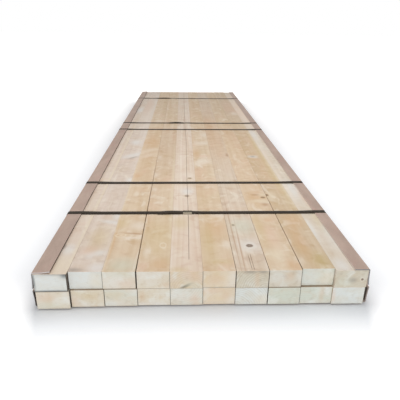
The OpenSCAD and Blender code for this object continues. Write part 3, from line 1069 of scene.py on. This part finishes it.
straps = [lay_strap(node, *sealed_route(node.replace("strap", "strap_seal"), *tail))
          for node, tail in TAILS.items()]
straps += [lay_strap(node, welded_route(side)) for node, side in LAPS.items()]
print(len(straps), "straps,", count_faces(straps), "faces")

# %% [markdown]
# ## Embossed polyester
# The band is extruded black polyester, rolled with a fine diamond pattern that takes most of its
# shine. The pattern is drawn on the length round the bundle, which is across on top and up on the
# sides, so the sum of both serves all four sides.

# %% Strap material
EMBOSS = 2.4 * MM
STRAP_PATTERNS = {"scuffs": ((14, 5, 14), 4, 0)}
BLACK = "#2F271E"
SCUFFS = [("scuffs", 0.5, 0.8, 0.7, "#43382C")]
STRAP_RELIEF = {"Strength": 0.4, "Distance": 0.08 * MM}
STRAP_ROUGH = {1: 0.3, 2: 0.8, 3: 0.45, 4: 0.65}
STRAP_GLOSS = {"IOR": 1.57, "Specular IOR Level": 0.06}


def embossed_polyester():
    """Extruded polyester strap, rolled with a diamond pattern."""
    material, put, shader, place, noise = start_material("embossed_polyester_black", STRAP_PATTERNS)
    axes = put("SeparateXYZ", {0: place})
    round_way = put("Math", {0: axes["X"], 1: axes["Z"]}, operation="ADD")[0]
    waves = []
    for sign in (1, -1):
        slant = put("Math", {0: axes["Y"], 1: sign, 2: round_way}, **TIMES_PLUS)[0]
        turn = put("Math", {0: slant, 1: math.tau / EMBOSS}, **TIMES)[0]
        waves.append(put("Math", {0: turn}, operation="SINE")[0])
    diamonds = put("Math", {0: waves[0], 1: waves[1]}, **TIMES)[0]
    colour = paint_layers(put, BLACK, noise, SCUFFS)
    bump = put("Bump", {"Height": diamonds, **STRAP_RELIEF})[0]
    rough = put("MapRange", {0: noise["scuffs"], **STRAP_ROUGH})[0]
    fill(shader, {"Base Color": colour, "Normal": bump, "Roughness": rough, **STRAP_GLOSS})
    return material


polyester = embossed_polyester()
for piece in straps:
    piece.data.materials.append(polyester)
print("strap material has", len(polyester.node_tree.nodes), "nodes")

# %% [markdown]
# ## The steel seals
# A seal is a short sleeve folded from galvanised sheet round both layers of the strap, and the tool
# that closes it presses crimps across it. A box without its two ends gets its folds bevelled round,
# is cut beside each crimp, pressed in along the crimp, and then given the thickness of the sheet.

# %% Fold and crimp each seal
SEAL_WALL = 0.6 * MM
FOLD = 0.9 * MM
FOLD_STEPS = 3
CRIMPS = 3
CRIMP_HALF = 1.4 * MM
CRIMP_DEPTH = 0.35 * MM


def crimp_seal(node):
    """A sleeve of sheet steel with crimps pressed across its top and sides."""
    low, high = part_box(node)
    piece = start_piece(bpy.ops.mesh.primitive_cube_add, low, high)
    pick("FACE", lambda face: abs(face.normal.x) > SQUARE_ON)
    bpy.ops.mesh.delete(type="FACE")
    length = high.x - low.x
    pick("EDGE", lambda edge: abs(edge.verts[0].co.x - edge.verts[1].co.x) > length / 2)
    bpy.ops.mesh.bevel(offset=FOLD, segments=FOLD_STEPS, affect="EDGES")
    places = [low.x + length * k / (CRIMPS + 1) for k in range(1, CRIMPS + 1)]
    for place in places:
        for cut in (place - CRIMP_HALF, place, place + CRIMP_HALF):
            cut_across((cut, 0, 0), (1, 0, 0))
    middle = (low.z + high.z) / 2
    pick("VERT", lambda v: v.co.z > middle and any(abs(v.co.x - place) < TINY for place in places))
    bpy.ops.transform.shrink_fatten(value=-CRIMP_DEPTH)
    bpy.ops.object.mode_set(mode="OBJECT")
    thicken(piece, SEAL_WALL, -1, SEAL_WALL / 5, 1)
    return shape_done(piece, "crimped_" + node, node)


seals = {node: crimp_seal(node) for node in ("strap_seal_1", "strap_seal_4", "strap_seal_5")}
print(len(seals), "seals,", count_faces(seals.values()), "faces")

# %% [markdown]
# ## Galvanised steel
# The sheet is zinc coated and dull: a warm brownish grey with faint flakes. Along its front fold a
# bright strip is a painted highlight.

# %% Seal material
STEEL_PATTERNS = {"flakes": ((2.5, 2.5, 2.5), 2, 0), "wear": ((6, 1.2, 6), 3, 0)}
ZINC, DARK_ZINC, HIGHLIGHT_ZINC = "#605646", "#413A2C", "#A9A08F"
# The painted highlight: how far behind the front fold it starts to show, and shows fully
HIGHLIGHT_STRIP = (6 * MM, 2 * MM)
STEEL_RELIEF = {"Strength": 0.2, "Distance": 0.05 * MM}
STEEL_ROUGH = {1: 0.3, 2: 0.7, 3: 0.42, 4: 0.6}


def galvanised_steel(node):
    """Galvanised sheet for one seal, softly spangled and dull, with a painted highlight along its front fold.
    """
    material, put, shader, place, noise = start_material("galvanised_steel_" + node, STEEL_PATTERNS)
    noise["along"] = put("SeparateXYZ", {0: place})["Y"]
    dull, bright = (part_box(node)[0].y + behind for behind in HIGHLIGHT_STRIP)
    # the bright strip along the front fold is a painted highlight
    layers = [("flakes", 0.35, 0.65, 1, DARK_ZINC), ("along", dull, bright, 1, HIGHLIGHT_ZINC)]
    colour = paint_layers(put, ZINC, noise, layers)
    bump = put("Bump", {"Height": noise["wear"], **STEEL_RELIEF})[0]
    rough = put("MapRange", {0: noise["wear"], **STEEL_ROUGH})[0]
    fill(shader, {"Base Color": colour, "Normal": bump, "Roughness": rough, "Metallic": 1.0})
    return material


for node, piece in seals.items():
    piece.data.materials.append(galvanised_steel(node))
print("seal material has", len(piece.data.materials[0].node_tree.nodes), "nodes")

# %% [markdown]
# ## Floor
# The bundle lies on a white studio floor. It is a plain pale floor for the light that bounces off it.
# The camera sees it as a diffuse white that starts to glow away from the bundle, so the floor keeps
# the soft shadow close by and is pure white in the open. The soft box lights the sides of the front
# half, so the floor glows least there.

# %% Lay the floor
FLOOR_SIZE = 60
FLOOR_GAP = 0.3 * MM
# The floor for bouncing light, the floor that is seen, and the tone of its glow
PALE_FLOOR, WHITE_FLOOR, GLOW_TONE = "#E0E0E0", "#EBEEF2", "#FFFAF5"
GLOW = 0.5
SIDE_GLOW = 0.35
BACK_GLOW = 0.62
# How far from the bundle the floor glows fully: in front, beside its front end and further back
FRONT_RUN = 155 * MM
CORNER_RUN = 52 * MM
SIDE_RUN = 180 * MM
# Beside the bundle the glow starts quickly and then grows slowly
SIDE_POWER = 0.6
# In front of the bundle its shadow gets narrower by this share of the distance
SHADOW_NARROWS = 0.3
# Where along the floor the front and the corner end, and where the back starts and is full
CORNER_END = {1: -1.23, 2: -1.08}
BACK_START = {1: -0.5, 2: 1.6}
# On the left the corner ends this many metres further back for each metre to the left
CORNER_LEAN = 0.045
# Well away from the bundle the floor glows more still, by the last of these
OPEN_GLOW = {1: 0.15, 2: 0.6, 4: 0.25}


def seen_directly(put):
    """1 for what the camera sees, also mirrored or through something clear, and 0 for bouncing light."""
    ray = put("LightPath")
    seen = put("Math", {0: ray["Is Camera Ray"], 1: ray["Is Glossy Ray"]}, **GREATER)[0]
    return put("Math", {0: seen, 1: ray["Is Transmission Ray"]}, **GREATER)[0]


def floor_glow(put, place):
    """How much the floor glows here: nothing at the bundle, more away from it and towards the back."""
    away = put("VectorMath", {0: place}, **SIZE)[0]
    away = put("VectorMath", {0: away, 1: (cad_box[1].x, cad_box[1].y, 1)}, **MINUS)[0]
    axes = put("SeparateXYZ", {0: away})
    ahead = put("Math", {0: axes["Y"], 1: 0}, **GREATER)[0]
    aside = put("Math", {0: ahead, 1: SHADOW_NARROWS, 2: axes["X"]}, **TIMES_PLUS)[0]
    aside = put("Math", {0: aside, 1: 0}, **GREATER)[0]
    away = put("CombineXYZ", {"X": aside, "Y": ahead})[0]
    away = put("VectorMath", {0: away}, **LENGTH)[1]
    far_glow = put("MapRange", {0: away, **OPEN_GLOW}, **SMOOTH)[0]

    axes = put("SeparateXYZ", {0: place})
    along = put("Math", {0: axes["X"], 1: CORNER_LEAN, 2: axes["Y"]}, **TIMES_PLUS)[0]
    side_run = put("MapRange", {0: along, **CORNER_END, 3: CORNER_RUN, 4: SIDE_RUN}, **SMOOTH)[0]
    front_glow = put("MapRange", {0: along, **CORNER_END, 3: GLOW, 4: SIDE_GLOW}, **SMOOTH)[0]
    back_glow = put("MapRange", {0: along, **BACK_START, 3: SIDE_GLOW, 4: BACK_GLOW}, **SMOOTH)[0]
    aside = put("Math", {0: aside, 1: side_run}, **OVER)[0]
    aside = put("Math", {0: aside, 1: SIDE_POWER}, operation="POWER")[0]
    ahead = put("Math", {0: ahead, 1: FRONT_RUN}, **OVER)[0]
    away = put("CombineXYZ", {"X": aside, "Y": ahead})[0]
    away = put("VectorMath", {0: away}, **LENGTH)[1]
    most = put("Math", {0: front_glow, 1: back_glow}, **GREATER)[0]
    glow = put("MapRange", {0: away, 4: most}, **SMOOTH)[0]
    return put("Math", {0: glow, 1: far_glow}, operation="ADD")[0]


bpy.ops.object.select_all(action="DESELECT")
bpy.ops.mesh.primitive_plane_add(size=FLOOR_SIZE, location=(0, 0, -FLOOR_GAP))
floor = bpy.context.object
floor.name = "studio_floor"
bpy.ops.object.transform_apply(location=True, rotation=True, scale=True)
material, put, _, place, _ = start_material("white_studio_floor", {})
pale = put("BsdfDiffuse", {"Color": PALE_FLOOR})[0]
lit = put("BsdfDiffuse", {"Color": WHITE_FLOOR})[0]
shine = put("Emission", {"Color": GLOW_TONE, "Strength": floor_glow(put, place)})[0]
white = put("AddShader", {0: lit, 1: shine})[0]
surface = put("MixShader", {0: seen_directly(put), 1: pale, 2: white})[0]
fill(material.node_tree.nodes["Material Output"], {"Surface": surface})
floor.data.materials.append(material)
print("floor glows fully", [round(run / MM) for run in (FRONT_RUN, SIDE_RUN)], "mm in front and beside")

# %% [markdown]
# ## Light
# A white sky gives soft light from everywhere. A large soft box hangs over the front half, so the far
# end is a touch darker, and a broad lamp low in front lights the sawn ends.

# %% Hang the lights
SKY = 0.53
WHITE = "#FFFFFF"
BOX_PLACE = Vector((0.05, -0.8, 1.55))
BOX_SIZE = 1.2
BOX_POWER = 10
FRONT_FROM = Vector((-0.08, -1.0, 0.16))
FRONT = 1.45
FRONT_SPREAD = math.radians(30)

world = bpy.data.worlds.new("soft_sky")
bpy.context.scene.world = world
world.use_nodes = True
put = partial(add_node, world.node_tree)
sky = put("Background", {"Color": WHITE, "Strength": SKY})[0]
white = put("Background", {"Color": WHITE, "Strength": 1.0})[0]
surface = put("MixShader", {0: seen_directly(put), 1: sky, 2: white})[0]
fill(world.node_tree.nodes["World Output"], {"Surface": surface})

bpy.ops.object.light_add(type="AREA", location=BOX_PLACE)
soft_box = bpy.context.object
soft_box.name = "soft_box"
soft_box.data.size = BOX_SIZE
soft_box.data.energy = BOX_POWER
bpy.ops.object.light_add(type="SUN", location=FRONT_FROM)
front_light = bpy.context.object
front_light.name = "front_light"
front_light.rotation_euler = FRONT_FROM.to_track_quat("Z", "Y").to_euler()
front_light.data.energy = FRONT
front_light.data.angle = FRONT_SPREAD
bpy.context.scene.view_settings.view_transform = "Standard"
print("sky", SKY, "soft box", BOX_POWER, "W, front light", FRONT)
